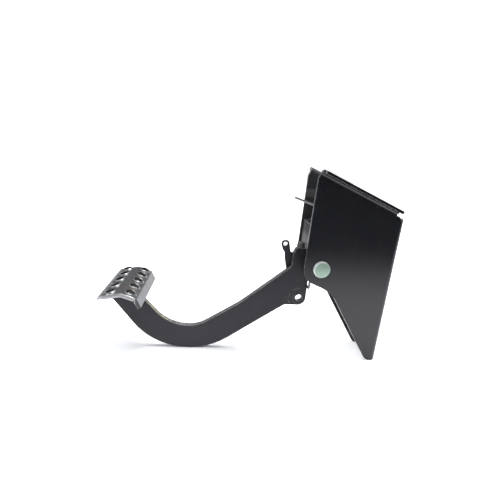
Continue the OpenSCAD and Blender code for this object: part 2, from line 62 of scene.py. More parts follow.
class Field:
    """A socket of a node tree, with sums and products written as plain maths."""

    def __init__(self, tree, socket=None):
        self.tree = tree
        self.socket = socket

    def new(self, kind, settings=None, inputs=None, out=0):
        """Makes a node: its settings first, then a value or a link for each named input."""
        node = self.tree.nodes.new(kind)
        for name, value in (settings or {}).items():
            setattr(node, name, value)
        for key, value in (inputs or {}).items():
            if isinstance(value, list):
                for item in value:
                    self.tree.links.new(item.socket, node.inputs[key])
            elif isinstance(value, Field):
                self.tree.links.new(value.socket, node.inputs[key])
            else:
                node.inputs[key].default_value = value
        return Field(self.tree, node.outputs[out]) if len(node.outputs) else node

    def other(self, name):
        """Another output of the node that this socket belongs to."""
        return Field(self.tree, self.socket.node.outputs[name])

    def maths(self, operation, *values, clamp=False):
        return self.new(
            "ShaderNodeMath",
            {"operation": operation, "use_clamp": clamp},
            dict(enumerate(values)),
        )

    def __add__(self, value):
        return self.maths("ADD", self, value)

    def __radd__(self, value):
        return self.maths("ADD", value, self)

    def __sub__(self, value):
        return self.maths("SUBTRACT", self, value)

    def __rsub__(self, value):
        return self.maths("SUBTRACT", value, self)

    def __mul__(self, value):
        return self.maths("MULTIPLY", self, value)

    def __rmul__(self, value):
        return self.maths("MULTIPLY", value, self)

    def __truediv__(self, value):
        return self.maths("DIVIDE", self, value)

    def __rtruediv__(self, value):
        return self.maths("DIVIDE", value, self)

    def __neg__(self):
        return self.maths("MULTIPLY", self, -1.0)

    def __pow__(self, value):
        return self.maths("POWER", self, value)

    def band(self, low, high, to_low=0.0, to_high=1.0):
        """Runs smoothly from to_low at low to to_high at high."""
        return self.new(
            "ShaderNodeMapRange",
            {"interpolation_type": "SMOOTHSTEP"},
            {"Value": self, 1: low, 2: high, 3: to_low, 4: to_high},
        )

    def mixed(self, low, high):
        """One colour where this is 0 and the other where it is 1."""
        return self.new(
            "ShaderNodeMix",
            {"data_type": "RGBA"},
            {0: self, 6: colour(low), 7: colour(high)},
            out=2,
        )


def colour(value):
    return value if isinstance(value, Field) else (*value, 1.0)


def noise(space, scale, detail=4.0, roughness=0.55, where=None):
    """A soft cloud from 0 to 1 in the object's own metres."""
    return space.new(
        "ShaderNodeTexNoise",
        {},
        {
            "Vector": where or space,
            "Scale": scale,
            "Detail": detail,
            "Roughness": roughness,
        },
    )


def material(name, build):
    """A material whose shader is made by build from the object's own coordinates."""
    made = bpy.data.materials.new(name)
    made.use_nodes = True
    tree = made.node_tree
    tree.nodes.clear()
    space = Field(tree).new("ShaderNodeTexCoord", out="Object")
    Field(tree).new("ShaderNodeOutputMaterial", {}, {"Surface": build(space)})
    return made


def axes(space):
    """The three coordinates of a vector socket."""
    x = space.new("ShaderNodeSeparateXYZ", {}, {"Vector": space})
    return x, x.other("Y"), x.other("Z")


def facing(space):
    """How far a surface looks up, from -1 to 1, in the object's own frame."""
    return axes(space.new("ShaderNodeTexCoord", out="Normal"))[2]


def edges(space):
    """1 on the rounded edges of a piece and 0 elsewhere."""
    return space.new("ShaderNodeAttribute", {"attribute_name": "worn_edge"}, out="Fac")


def streaks(space, scale, turn=(0.0, 0.0, 0.0), detail=3.0):
    """Noise stretched along one way: scale holds one number for each axis."""
    turned = space.new(
        "ShaderNodeMapping", {}, {"Vector": space, "Rotation": turn, "Scale": scale}
    )
    return noise(space, 1.0, detail, where=turned)


def surface(space, base, rough, metal=0.0, bump=None, **more):
    """The main shader of a finish; bump holds height, strength and depth."""
    inputs = {"Base Color": colour(base), "Roughness": rough, "Metallic": metal}
    inputs.update({key.replace("_", " ").title().replace("Ior", "IOR"): v for key, v in more.items()})
    if bump:
        height, strength, depth = bump
        inputs["Normal"] = space.new(
            "ShaderNodeBump",
            {},
            {"Height": height, "Strength": strength, "Distance": depth},
        )
    return space.new("ShaderNodeBsdfPrincipled", {}, inputs)


def bracket_paint(space):
    """Gloss black paint with a faint orange peel, dust on top and lighter rounded edges; the far cheek is painted
    lighter as a painted reflection, with a painted highlight band across it.
    """
    cloud = noise(space, 45.0, 5.0)
    peel = noise(space, 700.0, 2.0)
    grit = noise(space, 2600.0, 2.0)
    dust = facing(space).band(0.35, 0.95) * noise(space, 130.0, 6.0).band(0.35, 0.75)
    # Lighter on the rounded edges.
    rub = edges(space) * noise(space, 240.0, 4.0).band(0.3, 0.62)
    scratch = streaks(space, (900.0, 900.0, 38.0), (0.0, 0.5, 0.0)).band(0.66, 0.71)
    base = cloud.mixed((0.0105, 0.0108, 0.0128), (0.0135, 0.0138, 0.016))
    base = (dust * 0.5).mixed(base, (0.075, 0.074, 0.07))
    base = (scratch * 0.25).mixed(base, (0.03, 0.03, 0.032))
    base = (rub * 0.6).mixed(base, (0.24, 0.24, 0.25))
    _, y, z = axes(space)
    # The far cheek is painted lighter as a painted reflection, brightest in a painted highlight band 73 mm above
    # the pin.
    highlight_band = z.maths("ABSOLUTE", z - (PIVOT.z + 0.073)).band(0.0025, 0.006, 1.0, 0.0)
    far = y.band(0.0, 0.01)
    base = (far * (highlight_band * 0.65 + 0.3)).mixed(base, (0.085, 0.085, 0.083))
    rough = cloud.band(0.3, 0.7, 0.13, 0.2) + dust * 0.25 + scratch * 0.12
    return surface(
        space,
        base,
        rough,
        bump=(peel * 0.8 + grit * 0.2, 0.1, 0.00025),
        coat_weight=0.3,
        coat_roughness=0.07,
    )


def stop_paint(space):
    """Black paint gone dull, with painted reflection streaks and a painted reflection that lightens its lower
    part.
    """
    cloud = noise(space, 90.0, 6.0)
    grain = noise(space, 1500.0, 3.0)
    dust = noise(space, 260.0, 6.0).band(0.4, 0.75)
    # Bright streaks: a painted reflection.
    streak = streaks(space, (60.0, 520.0, 60.0), (0.5, 0.0, 0.0)).band(0.56, 0.68)
    base = cloud.mixed((0.007, 0.007, 0.008), (0.018, 0.018, 0.019))
    base = (dust * 0.3).mixed(base, (0.08, 0.078, 0.072))
    base = (streak * 0.7).mixed(base, (0.3, 0.3, 0.3))
    # Lighter towards the bottom: a painted reflection.
    lower_reflection = axes(space)[2].band(PIVOT.z + 0.026, PIVOT.z + 0.037, 1.0, 0.0)
    base = (lower_reflection * 0.45).mixed(base, (0.34, 0.34, 0.34))
    base = (edges(space) * 0.6).mixed(base, (0.22, 0.22, 0.23))
    rough = cloud.band(0.3, 0.7, 0.42, 0.6) + dust * 0.1
    return surface(
        space, base, rough, bump=(grain * 0.6 + dust * 0.4, 0.2, 0.0003), specular_ior_level=0.2
    )


def arm_paint(space):
    """Satin black paint, worn light along the upper edge where shoes slide over it, with painted highlights on
    faces that look up and on the top of the head.
    """
    x, _, z = axes(space)
    cloud = noise(space, 70.0, 5.0)
    grain = noise(space, 1300.0, 3.0)
    up = facing(space)
    low = x.band(-0.09, -0.03, 1.0, 0.1)
    yellow = x.maths("ABSOLUTE", x + 0.099).band(0.004, 0.022, 1.0, 0.0)
    chips = noise(space, 520.0, 5.0, 0.7)
    worn = up.band(0.25, 0.8) * chips.band(0.47, 0.6) * low
    # Faces that look up are painted lighter: a painted highlight.
    top_highlight = up.band(0.2, 0.6)
    eye = ((x - EYE.x) ** 2.0 + (z - EYE.z) ** 2.0) ** 0.5
    # Lighter on the rounded edges, less so near the eye.
    rub = edges(space) * noise(space, 200.0, 4.0).band(0.3, 0.6) * eye.band(0.016, 0.022, 0.25, 1.0)
    dust = noise(space, 190.0, 6.0).band(0.5, 0.8) * z.band(0.0, 0.07, 1.0, 0.35)
    scratch = streaks(space, (1200.0, 300.0, 60.0), (0.0, 0.9, 0.0)).band(0.64, 0.7)
    base = cloud.mixed((0.0135, 0.0138, 0.017), (0.019, 0.0195, 0.024))
    base = (dust * 0.2).mixed(base, (0.06, 0.058, 0.055))
    base = (scratch * 0.3).mixed(base, (0.09, 0.09, 0.09))
    base = (rub * 0.85).mixed(base, (0.3, 0.295, 0.28))
    base = (top_highlight * 0.5).mixed(base, (0.11, 0.11, 0.115))
    # The top face of the head is painted bright: a painted highlight.
    crown = up.band(0.3, 0.7) * z.band(PIVOT.z + 0.016, PIVOT.z + 0.019)
    base = (crown * 0.8).mixed(base, (0.5, 0.5, 0.5))
    bare = yellow.mixed((0.3, 0.295, 0.28), chips.mixed((0.16, 0.14, 0.04), (0.6, 0.55, 0.3)))
    base = worn.mixed(base, bare)
    rough = cloud.band(0.3, 0.7, 0.34, 0.46) + dust * 0.2 + worn * 0.1
    return surface(
        space,
        base,
        rough,
        bump=(grain * 0.7 + chips * worn * 0.6, 0.16, 0.0003),
        specular_ior_level=0.4,
    )


def pad_steel(space):
    """Dull plated steel: scuffed along the foot's way, with collar rims painted bright as partly wear and partly
    painted highlight, painted highlights on the lip, the sides and faces that do not look up, and painted shade
    inside the holes.
    """
    x, y, _ = axes(space)
    cloud = noise(space, 85.0, 5.0)
    grain = noise(space, 1700.0, 3.0)
    blots = noise(space, 38.0, 6.0, 0.65)
    row = y * (1.0 / 0.016)
    across = (row - row.maths("ROUND", row)) * 0.016
    front = x - (PIVOT.x - 0.1965 - 0.0111)
    back = x - (PIVOT.x - 0.1965 + 0.0078)
    along = front.maths("MINIMUM", front.maths("ABSOLUTE", front), back.maths("ABSOLUTE", back))
    reach = (across * across + along * along) ** 0.5
    rim = reach.band(0.0042, 0.0045) * reach.band(0.0047, 0.0051, 1.0, 0.0)
    foot = reach.band(0.0058, 0.0066) * reach.band(0.0068, 0.008, 1.0, 0.0)
    up = facing(space)
    scuff = streaks(space, (90.0, 1500.0, 90.0), (0.0, 0.0, 0.15)).band(0.52, 0.7)
    brown = blots.band(0.52, 0.7) * up.band(0.2, 0.9)
    base = cloud.mixed((0.085, 0.085, 0.087), (0.145, 0.145, 0.147))
    side = y.maths("ABSOLUTE", y).band(0.0369, 0.0377)
    # Faces that do not look up, away from the side rims, are painted lighter: painted light.
    flank_light = up.band(0.3, 0.8, 1.0, 0.0) * (1.0 - side)
    base = (flank_light * 0.75).mixed(base, (0.36, 0.36, 0.365))
    base = (brown * 0.4).mixed(base, (0.2, 0.13, 0.1))
    base = (foot * 0.6).mixed(base, (0.07, 0.068, 0.065))
    base = (scuff * 0.3 * up.band(0.5, 0.9)).mixed(base, (0.34, 0.34, 0.34))
    # The collars' rims are painted bright: partly polished by wear, partly a painted highlight.
    base = (rim * 0.75).mixed(base, (0.7, 0.7, 0.69))
    # The front lip and the front part of the sides are painted bright: painted highlights.
    lip = x.band(PIVOT.x - 0.2175, PIVOT.x - 0.212, 1.0, 0.0)
    side = side * x.band(PIVOT.x - 0.1835, PIVOT.x - 0.1825, 1.0, 0.0)
    base = (lip * 0.8 + side * 0.75).mixed(base, (0.55, 0.55, 0.55))
    # Inside the holes the steel is painted dark: painted shade.
    hole_shade = reach.band(0.0042, 0.0045, 1.0, 0.0)
    base = (hole_shade * 0.9).mixed(base, (0.03, 0.029, 0.028))
    rough = cloud.band(0.3, 0.7, 0.36, 0.5) + brown * 0.12 - rim * 0.1
    return surface(space, base, rough, 0.85, bump=(grain * 0.6 + scuff * 0.4, 0.14, 0.0002))


def pin_zinc(space):
    """Pale green passivated zinc, painted darker towards the top as painted shade, with a bright rim that carries
    a painted highlight, strongest towards the upper left.
    """
    x, y, z = axes(space)
    reach = ((x - PIVOT.x) ** 2.0 + (z - PIVOT.z) ** 2.0) ** 0.5
    cloud = noise(space, 150.0, 5.0)
    grain = noise(space, 1500.0, 3.0)
    turning = noise(space, 1.0, 2.0, where=space.new(
        "ShaderNodeCombineXYZ", {}, {"X": reach * 2200.0, "Y": y * 120.0, "Z": 0.0}
    ))
    # Darker towards the top: painted shade.
    shade = (z - PIVOT.z).band(-0.007, 0.008)
    base = shade.mixed((0.46, 0.62, 0.49), (0.25, 0.36, 0.28))
    base = (cloud.band(0.35, 0.7) * 0.5).mixed(base, (0.4, 0.57, 0.48))
    # The rim is painted bright, most towards the upper left: a painted highlight.
    lit = ((z - PIVOT.z) - (x - PIVOT.x)).band(-0.004, 0.007, 0.4, 1.0)
    base = (reach.band(0.0073, 0.008) * lit * 0.9).mixed(base, (0.9, 0.92, 0.9))
    rough = cloud.band(0.3, 0.7, 0.3, 0.44)
    return surface(space, base, rough, 0.55, bump=(turning * 0.6 + grain * 0.4, 0.12, 0.0002))


def plated(space, low, high, metal=1.0, rough=(0.24, 0.4), spots=(0.18, 0.15, 0.1)):
    """Plated or blackened steel with fine grain, soft clouds and a few dull spots."""
    cloud = noise(space, 160.0, 5.0)
    grain = noise(space, 1900.0, 3.0)
    spot = noise(space, 420.0, 6.0, 0.7).band(0.58, 0.72)
    base = (spot * 0.45).mixed(cloud.mixed(low, high), spots)
    return surface(
        space,
        base,
        cloud.band(0.3, 0.7, *rough) + spot * 0.15,
        metal,
        bump=(grain, 0.12, 0.00015),
    )


def plain_steel(space):
    return plated(space, (0.42, 0.42, 0.4), (0.58, 0.58, 0.55))


def clip_steel(space):
    return plated(space, (0.05, 0.05, 0.055), (0.1, 0.1, 0.105), 0.9, (0.28, 0.46))


def bush_bronze(space):
    return plated(space, (0.4, 0.25, 0.11), (0.52, 0.34, 0.17), 1.0, (0.28, 0.48))


def spring_wire(space):
    return plated(space, (0.16, 0.16, 0.15), (0.3, 0.3, 0.285), 1.0, (0.26, 0.42))


def button_rubber(space):
    """Moulded rubber with a dusty bloom."""
    bloom = noise(space, 380.0, 6.0)
    grain = noise(space, 2400.0, 2.0)
    base = bloom.mixed((0.03, 0.03, 0.03), (0.1, 0.1, 0.098))
    return surface(
        space, base, bloom.band(0.3, 0.7, 0.42, 0.62), bump=(grain, 0.2, 0.00015)
    )


def weld_paint(space):
    """Painted bead with patchy dark tone and pale spatter."""
    cloud = noise(space, 260.0, 5.0)
    grain = noise(space, 1500.0, 3.0)
    spatter = noise(space, 800.0, 2.0).band(0.62, 0.72)
    base = cloud.mixed((0.013, 0.013, 0.014), (0.032, 0.031, 0.03))
    base = (spatter * 0.3).mixed(base, (0.09, 0.085, 0.08))
    return surface(
        space,
        base,
        cloud.band(0.3, 0.7, 0.32, 0.5),
        bump=(grain * 0.6 + spatter * 0.4, 0.25, 0.0003),
    )


FINISHES = {
    "bracket_paint": bracket_paint,
    "stop_paint": stop_paint,
    "arm_paint": arm_paint,
    "weld": weld_paint,
    "pad_steel": pad_steel,
    "pin_zinc": pin_zinc,
    "plain_steel": plain_steel,
    "clip_steel": clip_steel,
    "bush_bronze": bush_bronze,
    "button_rubber": button_rubber,
    "spring_wire": spring_wire,
}


def finish(slot):
    """The material of a slot, made once."""
    name = "finish_" + slot
    return bpy.data.materials.get(name) or material(name, FINISHES[slot])


# Pieces


def body_of(node):
    """The body that carries a node."""
    bodies = frame["record"]["behaviour"]["bodies"]
    return next(body for body, nodes in bodies.items() if node in nodes)


def slot_of(node):
    """The material slot of a node."""
    parts = frame["record"]["subparts"]
    return next(part["material_slot"] for part in parts if part["node"] == node)


def place(name, mesh):
    made = bpy.data.objects.new(name, mesh)
    bpy.context.scene.collection.objects.link(made)
    return made


def plain(obj):
    """Turns an object with live modifiers into a plain mesh object of the same name."""
    name = obj.name
    graph = bpy.context.evaluated_depsgraph_get()
    mesh = bpy.data.meshes.new_from_object(
        obj.evaluated_get(graph), preserve_all_data_layers=True, depsgraph=graph
    )
    old = obj.data
    bpy.data.objects.remove(obj)
    bpy.data.meshes.remove(old)
    mesh.name = name
    return place(name, mesh)


def hand_over(piece, node):
    """Gives a finished piece its material and its body, and hides the node that it stands for."""
    slot = slot_of(node)
    piece.data.materials.clear()
    piece.data.materials.append(finish(slot))
    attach(piece, body_of(node))
    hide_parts(node)
    return piece


def rounded_piece(node, settings, width=None):
    """A copy of a node with its sharp edges rounded and the rounded faces marked."""
    mesh = bmesh.new()
    mesh.from_mesh(frame["nodes"][node].data)
    bmesh.ops.remove_doubles(mesh, verts=mesh.verts, dist=1.2e-5)
    bmesh.ops.dissolve_limit(
        mesh, angle_limit=math.radians(0.3), verts=mesh.verts, edges=mesh.edges
    )
    for face in mesh.faces:
        face.smooth = True
        face.material_index = 0
    data = bpy.data.meshes.new(node)
    mesh.to_mesh(data)
    mesh.free()
    piece = place("finished_" + node, data)
    data.materials.append(finish(slot_of(node)))
    data.materials.append(finish(slot_of(node)))
    bevel = piece.modifiers.new("rounding", "BEVEL")
    bevel.width = settings.width if width is None else width
    bevel.segments = settings.segments
    bevel.limit_method = "ANGLE"
    bevel.angle_limit = settings.angle
    bevel.use_clamp_overlap = False
    bevel.material = 1
    piece.modifiers.new("shading", "WEIGHTED_NORMAL").weight = 100
    piece = plain(piece)
    # Marks the rounded faces; the finishes draw them lighter.
    worn = piece.data.attributes.new("worn_edge", "FLOAT", "FACE")
    for face in piece.data.polygons:
        worn.data[face.index].value = float(face.material_index == 1)
        face.material_index = 0
    return hand_over(piece, node)


def node_tree(name, inputs):
    """A geometry tree and its named inputs; inputs holds a socket kind for each name."""
    tree = bpy.data.node_groups.new(name, "GeometryNodeTree")
    tree.interface.new_socket("Geometry", in_out="INPUT", socket_type="NodeSocketGeometry")
    for label, kind in inputs.items():
        tree.interface.new_socket(label, in_out="INPUT", socket_type="NodeSocket" + kind)
    tree.interface.new_socket("Geometry", in_out="OUTPUT", socket_type="NodeSocketGeometry")
    source = tree.nodes.new("NodeGroupInput")
    return tree, {item.name: Field(tree, item) for item in source.outputs if item.name}


def close_tree(shape, finish_socket):
    """Ends a geometry tree: real geometry, then its material."""
    whole = shape.new("GeometryNodeRealizeInstances", {}, {"Geometry": shape})
    made = shape.new(
        "GeometryNodeSetMaterial", {}, {"Geometry": whole, "Material": finish_socket}
    )
    shape.new("NodeGroupOutput", {}, {"Geometry": made})


def grown(piece, tree, values):
    """Runs a geometry tree on a piece with values for its named inputs."""
    build = piece.modifiers.new("build", "NODES")
    build.node_group = tree
    for item in tree.interface.items_tree:
        if item.in_out == "INPUT" and item.name in values:
            build[item.identifier] = values[item.name]
    return plain(piece)


def swept_tree():
    """Sweeps a round section along the edges of a mesh, with optional weld ripples."""
    tree, given = node_tree(
        "swept_round",
        {
            "Radius": "Float",
            "Spacing": "Float",
            "Sides": "Int",
            "Ripple": "Float",
            "Pitch": "Float",
            "Seed": "Float",
            "Finish": "Material",
        },
    )
    line = given["Geometry"].new("GeometryNodeMeshToCurve", {}, {"Mesh": given["Geometry"]})
    line = line.new(
        "GeometryNodeResampleCurve", {"mode": "LENGTH"}, {"Curve": line, "Length": given["Spacing"]}
    )
    length = line.new("GeometryNodeSplineParameter", out="Length")
    spot = line.new("GeometryNodeInputPosition")
    cloud = spot.new(
        "ShaderNodeTexNoise",
        {"noise_dimensions": "4D"},
        {"Vector": spot, "W": given["Seed"], "Scale": 600.0, "Detail": 2.0},
    )
    wave = length.maths("SINE", length / given["Pitch"] * 6.2832)
    size = 1.0 + given["Ripple"] * (wave * 0.5 + (cloud - 0.5) * 2.0 - 0.6)
    ring = line.new(
        "GeometryNodeCurvePrimitiveCircle",
        {"mode": "RADIUS"},
        {"Resolution": given["Sides"], "Radius": given["Radius"]},
    )
    tube = line.new(
        "GeometryNodeCurveToMesh",
        {},
        {"Curve": line, "Profile Curve": ring, "Scale": size, "Fill Caps": True},
    )
    tube = tube.new("GeometryNodeSetShadeSmooth", {}, {"Geometry": tube})
    close_tree(tube, given["Finish"])
    return tree


def swept(node, lines, radius, spacing, sides, ripple=0.0, pitch=1.0, seed=0.0):
    """A round section along lines of points; a line that ends where it starts is closed."""
    points, links = [], []
    for line in lines:
        start, closed = len(points), line[0] == line[-1]
        line = line[:-1] if closed else line
        points += [PIVOT + Vector(point) * MM for point in line]
        links += [(start + i, start + i + 1) for i in range(len(line) - 1)]
        if closed:
            links.append((start + len(line) - 1, start))
    mesh = bpy.data.meshes.new(node)
    mesh.from_pydata(points, links, [])
    piece = place("finished_" + node, mesh)
    tree = bpy.data.node_groups.get("swept_round") or swept_tree()
    values = {
        "Radius": radius,
        "Spacing": spacing,
        "Sides": sides,
        "Ripple": ripple,
        "Pitch": pitch,
        "Seed": seed,
        "Finish": finish(slot_of(node)),
    }
    return hand_over(grown(piece, tree, values), node)


def ring_line(radius, y, count=96):
    """A circle around the pivot in the plane at y."""
    turns = [2 * math.pi * (i % count) / count for i in range(count + 1)]
    return [(radius * math.cos(a), y, radius * math.sin(a)) for a in turns]


def bead(node, settings, lines, leg, seed):
    """A weld bead along lines; leg is the leg of the fillet."""
    return swept(
        node,
        lines,
        0.5 * leg * MM,
        0.2 * MM,
        14,
        settings.ripple,
        settings.pitch,
        seed,
    )


# The pad


def rounded_path(points, radii):
    """An open path whose corners are turned into arcs; one radius for each point."""
    path = []
    for i, (corner, radius) in enumerate(zip(points, radii)):
        if radius == 0:
            path.append(corner)
            continue
        before, behind = points[i - 1] - corner, points[i + 1] - corner
        half = before.angle(behind) / 2
        reach = min(radius / math.tan(half), before.length, behind.length)
        radius = reach * math.tan(half)
        before.normalize()
        behind.normalize()
        centre = corner + (before + behind).normalized() * radius / math.sin(half)
        start = (corner + before * reach - centre) / radius
        end = (corner + behind * reach - centre) / radius
        side = (end - start * end.dot(start)).normalized()
        turn = math.pi - 2 * half
        steps = max(3, math.ceil(turn / math.radians(4.0)))
        path += [
            centre + radius * (start * math.cos(turn * k / steps) + side * math.sin(turn * k / steps))
            for k in range(steps + 1)
        ]
    return path


def spread(low, high, count):
    return [low + (high - low) * i / count for i in range(count + 1)]


def add_patch(mesh, rows):
    """Quads between rows of points."""
    made = [[mesh.verts.new(point) for point in row] for row in rows]
    for low, high in zip(made, made[1:]):
        for i in range(len(low) - 1):
            mesh.faces.new((low[i], low[i + 1], high[i + 1], high[i]))


def add_cell(mesh, centre, s_range, y_range, radius, height):
    """The sheet around one hole: a ring of quads from the hole to a rectangle."""
    s0, s1 = s_range
    y0, y1 = y_range
    border = [(s1, y) for y in spread(y0, y1, 12)][:-1]
    border += [(s, y1) for s in spread(s1, s0, 12)][:-1]
    border += [(s0, y) for y in spread(y1, y0, 12)][:-1]
    border += [(s, y0) for s in spread(s0, s1, 12)][:-1]
    rows = []
    for part in (0.0, 0.3, 0.65, 1.0):
        row = []
        for k in range(49):
            turn = 2 * math.pi * (k % 48 - 6) / 48
            s = centre[0] + radius * math.cos(turn)
            y = centre[1] + radius * math.sin(turn)
            edge = border[k % 48]
            row.append((s + (edge[0] - s) * part, y + (edge[1] - y) * part, height))
        rows.append(row)
    add_patch(mesh, rows)


PAD_CORNERS = [
    (-217.786, -36.468),
    (-219.21, -32.944),
    (-196.5, -28.2),
    (-181.974, -33.315),
    (-177.621, -42.650),
]
PAD_RADII = (0, 2.5, 8, 2.8, 0)
PAD_LEFT = -218.271
HALF_W = 38.7
SHEET = 2.0
ROWS = (14.1, 33.59)
FOLDS = (5.2, 25.34, 41.2)
COLLAR = (
    (6.6, 0), (6.3, 0.08), (6.0, 0.3), (5.7, 0.62), (5.4, 0.95), (5.15, 1.3), (4.95, 1.6),
    (4.75, 1.82), (4.5, 1.9), (4.3, 1.85), (4.16, 1.7), (4.1, 1.45), (4.1, 0.4),
    (4.15, -1.0), (4.3, -1.7), (4.6, -2.0),
)
RIM = (
    (38.2, 0), (38.45, -0.06), (38.62, -0.2), (38.7, -0.45), (38.7, -3.1), (38.6, -3.4),
    (38.35, -3.58), (37.4, -3.58), (37.15, -3.4), (37.1, -3.1), (37.1, -2.35),
    (37.0, -2.1), (36.8, -2.0),
)
END = ((0.3, 0.0), (0.09, -0.09), (0.0, -0.3), (0.0, -1.7), (0.09, -1.91), (0.3, -2.0))


def pad_line():
    """The pad's top face seen from the side, from its lip to its flange."""
    corners = [Vector((x, 0, z)) for x, z in PAD_CORNERS]
    return rounded_path(corners, PAD_RADII)


def line_length(line):
    return sum((b - a).length for a, b in zip(line, line[1:]))


def flat_pad(pitch, whole):
    """The pad laid flat: s along its side view, y across, the height over its top face."""
    mesh = bmesh.new()
    top_y, low_y = RIM[0][0], RIM[-1][0]
    cuts = [pitch * (i - 1.5) for i in range(4)]
    for height, side, radius in ((0.0, top_y, COLLAR[0][0]), (-SHEET, low_y, COLLAR[-1][0])):
        bounds = [-side, *cuts, side]
        for i in range(5):
            for row, s_range in zip(ROWS, zip(FOLDS, FOLDS[1:])):
                add_cell(mesh, (row, pitch * (i - 2)), s_range, bounds[i : i + 2], radius, height)

    def across(height):
        part = -height / SHEET
        side = top_y + (low_y - top_y) * part
        bounds = [-side, *cuts, side]
        ys = [y for a, b in zip(bounds, bounds[1:]) for y in spread(a, b, 12)[:-1]]
        return [*ys, side]

    front = spread(END[0][0], FOLDS[0], 14)
    back = spread(FOLDS[-1], whole - END[0][0], 14)
    for strip in (front, back):
        for height in (0.0, -SHEET):
            add_patch(mesh, [[(s, y, height) for y in across(height)] for s in strip])
    for mirror in (lambda s: s, lambda s: whole - s):
        add_patch(mesh, [[(mirror(s), y, h) for y in across(h)] for s, h in END])
    along = front[:-1] + [s for a, b in zip(FOLDS, FOLDS[1:]) for s in spread(a, b, 12)[:-1]] + back

    def rim(s):
        deep = min(1.0, 0.2 + max(0.0, s - 5.2) / 2.0) if s < 20 else 1.0
        if s > 36:
            deep = max(0.3, min(1.0, abs(s - 40.6) - 1.2))
        return [(y, h if h > -SHEET else -SHEET + (h + SHEET) * deep) for y, h in RIM]

    for side in (-1, 1):
        add_patch(mesh, [[(s, side * y, h) for y, h in rim(s)] for s in along])
        for s, mirror in ((along[0], lambda s: s), (along[-1], lambda s: whole - s)):
            ring = [(s, side * y, h) for y, h in rim(s)]
            ring += [
                (mirror(end), side * (top_y + (low_y - top_y) * -h / SHEET), h)
                for end, h in reversed(END[1:-1])
            ]
            mesh.faces.new([mesh.verts.new(point) for point in ring])
    bmesh.ops.remove_doubles(mesh, verts=mesh.verts, dist=1e-4)
    line = pad_line()
    for vert in mesh.verts:
        if vert.co.x < 6:
            walked, x = 0.0, line[0].x
            for a, b in zip(line, line[1:]):
                step = (b - a).length
                if walked + step >= vert.co.x:
                    x = a.x + (b.x - a.x) * (vert.co.x - walked) / step
                    break
                walked += step
            near = max(0.0, 2.0 - max(0.0, x - PAD_LEFT))
            vert.co.y *= (HALF_W - 2.0 + math.sqrt(4.0 - near * near)) / HALF_W
    return mesh


def collar_mesh():
    mesh = bmesh.new()
    turns = [2 * math.pi * (k % 48) / 48 for k in range(49)]
    add_patch(mesh, [[(r * math.cos(a), r * math.sin(a), h) for a in turns] for r, h in COLLAR])
    bmesh.ops.remove_doubles(mesh, verts=mesh.verts, dist=1e-4)
    return mesh


def helper(name, mesh):
    """Keeps a mesh drawn in millimetres as a helper object in metres."""
    bmesh.ops.scale(mesh, vec=(MM, MM, MM), verts=mesh.verts)
    data = bpy.data.meshes.new(name)
    mesh.to_mesh(data)
    mesh.free()
    return place(name, data)


def pad_tree():
    """Sets rows of collars in a flat sheet and bends the whole along a line."""
    tree, given = node_tree(
        "pad_rows",
        {
            "Collar": "Object",
            "Line": "Object",
            "Count": "Int",
            "Pitch": "Float",
            "Front Row": "Float",
            "Back Row": "Float",
            "Finish": "Material",
        },
    )
    sheet = given["Geometry"]
    half = (given["Count"] - 1.0) * given["Pitch"] * -0.5
    collar = sheet.new("GeometryNodeObjectInfo", {}, {"Object": given["Collar"]}, "Geometry")
    step = sheet.new("ShaderNodeCombineXYZ", {}, {"Y": given["Pitch"]})
    parts = [sheet]
    for name in ("Front Row", "Back Row"):
        start = sheet.new("ShaderNodeCombineXYZ", {}, {"X": given[name], "Y": half})
        row = sheet.new(
            "GeometryNodeMeshLine",
            {},
            {"Count": given["Count"], "Start Location": start, "Offset": step},
        )
        parts.append(
            sheet.new("GeometryNodeInstanceOnPoints", {}, {"Points": row, "Instance": collar})
        )
    whole = sheet.new("GeometryNodeJoinGeometry", {}, {"Geometry": parts})
    whole = sheet.new("GeometryNodeRealizeInstances", {}, {"Geometry": whole})
    whole = sheet.new("GeometryNodeMergeByDistance", {}, {"Geometry": whole, "Distance": 1e-5})
    line = sheet.new("GeometryNodeObjectInfo", {}, {"Object": given["Line"]}, "Geometry")
    line = sheet.new("GeometryNodeMeshToCurve", {}, {"Mesh": line})
    along, across, height = axes(sheet.new("GeometryNodeInputPosition"))
    spot = sheet.new(
        "GeometryNodeSampleCurve",
        {"mode": "LENGTH", "use_all_curves": True},
        {"Curves": line, "Length": along},
        "Position",
    )
    x, _, z = axes(spot)
    way_x, _, way_z = axes(spot.other("Tangent"))
    bent = sheet.new(
        "ShaderNodeCombineXYZ",
        {},
        {"X": x - way_z * height, "Y": across, "Z": z + way_x * height},
    )
    whole = sheet.new("GeometryNodeSetPosition", {}, {"Geometry": whole, "Position": bent})
    whole = sheet.new("GeometryNodeSetShadeSmooth", {}, {"Geometry": whole})
    close_tree(whole, given["Finish"])
    return tree


def finished_pad(settings):
    line = pad_line()
    points = [PIVOT + point * MM for point in line]
    path = bpy.data.meshes.new("pad_line")
    path.from_pydata(points, [(i, i + 1) for i in range(len(points) - 1)], [])
    path = place("pad_line", path)
    collar = helper("collar", collar_mesh())
    piece = helper("finished_pad", flat_pad(settings.pitch / MM, line_length(line)))
    values = {
        "Collar": collar,
        "Line": path,
        "Count": 5,
        "Pitch": settings.pitch,
        "Front Row": ROWS[0] * MM,
        "Back Row": ROWS[1] * MM,
        "Finish": finish("pad_steel"),
    }
    piece = grown(piece, pad_tree(), values)
    bpy.data.objects.remove(collar)
    bpy.data.objects.remove(path)
    mesh = bmesh.new()
    mesh.from_mesh(piece.data)
    bmesh.ops.recalc_face_normals(mesh, faces=mesh.faces)
    mesh.to_mesh(piece.data)
    mesh.free()
    return hand_over(piece, "pad")


# The spring and the welds


